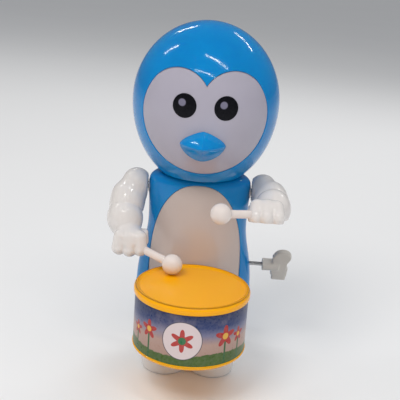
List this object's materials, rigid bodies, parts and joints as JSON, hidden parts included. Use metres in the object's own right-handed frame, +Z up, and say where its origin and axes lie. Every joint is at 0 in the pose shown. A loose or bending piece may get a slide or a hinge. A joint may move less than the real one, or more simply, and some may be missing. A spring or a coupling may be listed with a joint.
{
  "type": "wind-up drumming penguin toy",
  "caption": "Clockwork penguin toy that beats a drum: glossy blue head and body, pale heart-shaped face, white arms with drumsticks, round yellow drum and a winding key at its side.",
  "frame": {"origin": "on the floor under the upright axis of the body and head", "axes": "+Z up, the front with the drum faces -Y, the winding key is on the +X side"},
  "size_m": [0.1152, 0.1307, 0.208],
  "materials": {
    "blue_plastic": "glossy azure moulded plastic",
    "white_plastic": "glossy white moulded plastic",
    "arm_plastic": "glossy warm white moulded plastic",
    "stick_plastic": "glossy white moulded plastic",
    "face_plastic": "satin pale lavender grey moulded plastic",
    "beak_plastic": "glossy azure moulded plastic",
    "eye_sticker": "black printed sticker with a pale dot",
    "drum_plastic": "glossy amber yellow moulded plastic",
    "drum_label": "printed gloss paper band, sky blue to pale with a green hill",
    "key_plastic": "satin off-white moulded plastic",
    "inner_plastic": "plain moulded plastic",
    "gear_plastic": "natural moulded plastic",
    "gear_brass": "stamped brass",
    "steel": "stamped plated steel sheet",
    "shaft_steel": "drawn steel wire",
    "screw_steel": "zinc plated screw",
    "spring_steel": "blued spring strip"
  },
  "bodies": {
    "toy_body": {"body_front_shell": "blue_plastic", "body_rear_shell": "blue_plastic", "belly_plate": "face_plastic", "body_floor": "inner_plastic", "shell_screws": "screw_steel", "base_screws": "screw_steel", "right_shoulder_bush": "inner_plastic", "left_shoulder_bush": "inner_plastic", "right_foot": "white_plastic", "left_foot": "white_plastic", "drum_barrel": "drum_plastic", "drum_label": "drum_label", "drum_lid": "drum_plastic", "frame_pillars": "steel", "frame_screws": "screw_steel", "right_motor_plate": "steel", "left_motor_plate": "steel", "neck_bearing": "steel", "mainspring": "spring_steel"},
    "head": {"head_front_shell": "blue_plastic", "head_rear_shell": "blue_plastic", "face_plate": "face_plastic", "beak": "beak_plastic", "right_eye_sticker": "eye_sticker", "left_eye_sticker": "eye_sticker", "head_spindle": "inner_plastic", "head_carrier": "inner_plastic"},
    "right_arm": {"right_arm": "arm_plastic", "right_drumstick": "stick_plastic", "right_arm_axle": "steel", "right_arm_lever": "steel"},
    "left_arm": {"left_arm": "arm_plastic", "left_drumstick": "stick_plastic", "left_arm_axle": "steel", "left_arm_lever": "steel"},
    "winding": {"key": "key_plastic", "winding_arbor": "shaft_steel", "great_wheel": "gear_brass"},
    "second": {"second_arbor": "shaft_steel", "second_pinion": "gear_brass", "second_wheel": "gear_brass"},
    "crank": {"crank_arbor": "shaft_steel", "crank_pinion": "gear_brass", "third_wheel": "gear_brass", "right_crank_disc": "gear_plastic", "left_crank_disc": "gear_plastic", "head_cam": "gear_plastic"},
    "governor": {"governor_arbor": "shaft_steel", "governor_pinion": "gear_brass", "flywheel": "gear_brass"}
  },
  "joints": [
    {"name": "key_turn", "type": "hinge", "parent": "toy_body", "child": "winding", "pos_m": [0, 0, 0.06], "axis": [1, 0, 0], "continuous": true},
    {"name": "second_spin", "type": "hinge", "parent": "toy_body", "child": "second", "pos_m": [0, 0.00753, 0.07692], "axis": [1, 0, 0], "continuous": true},
    {"name": "crank_spin", "type": "hinge", "parent": "toy_body", "child": "crank", "pos_m": [0, 0, 0.08641], "axis": [1, 0, 0], "continuous": true},
    {"name": "governor_spin", "type": "hinge", "parent": "toy_body", "child": "governor", "pos_m": [0, -0.00964, 0.08129], "axis": [1, 0, 0], "continuous": true},
    {"name": "right_arm_swing", "type": "hinge", "parent": "toy_body", "child": "right_arm", "pos_m": [-0.038, 0, 0.1065], "axis": [-1, 0, 0], "range_deg": [0, 45]},
    {"name": "left_arm_swing", "type": "hinge", "parent": "toy_body", "child": "left_arm", "pos_m": [0.038, 0, 0.1065], "axis": [-1, 0, 0], "range_deg": [-45, 0]},
    {"name": "head_turn", "type": "hinge", "parent": "toy_body", "child": "head", "pos_m": [0, 0, 0.1174], "axis": [0, 0, 1], "range_deg": [-15, 15]}
  ],
  "couplings": [
    {"joint": "second_spin", "follows": "key_turn", "ratio": -3.6},
    {"joint": "crank_spin", "follows": "key_turn", "ratio": 10.8},
    {"joint": "governor_spin", "follows": "key_turn", "ratio": -37.8},
    {"joint": "left_arm_swing", "follows": "right_arm_swing", "ratio": -1}
  ]
}
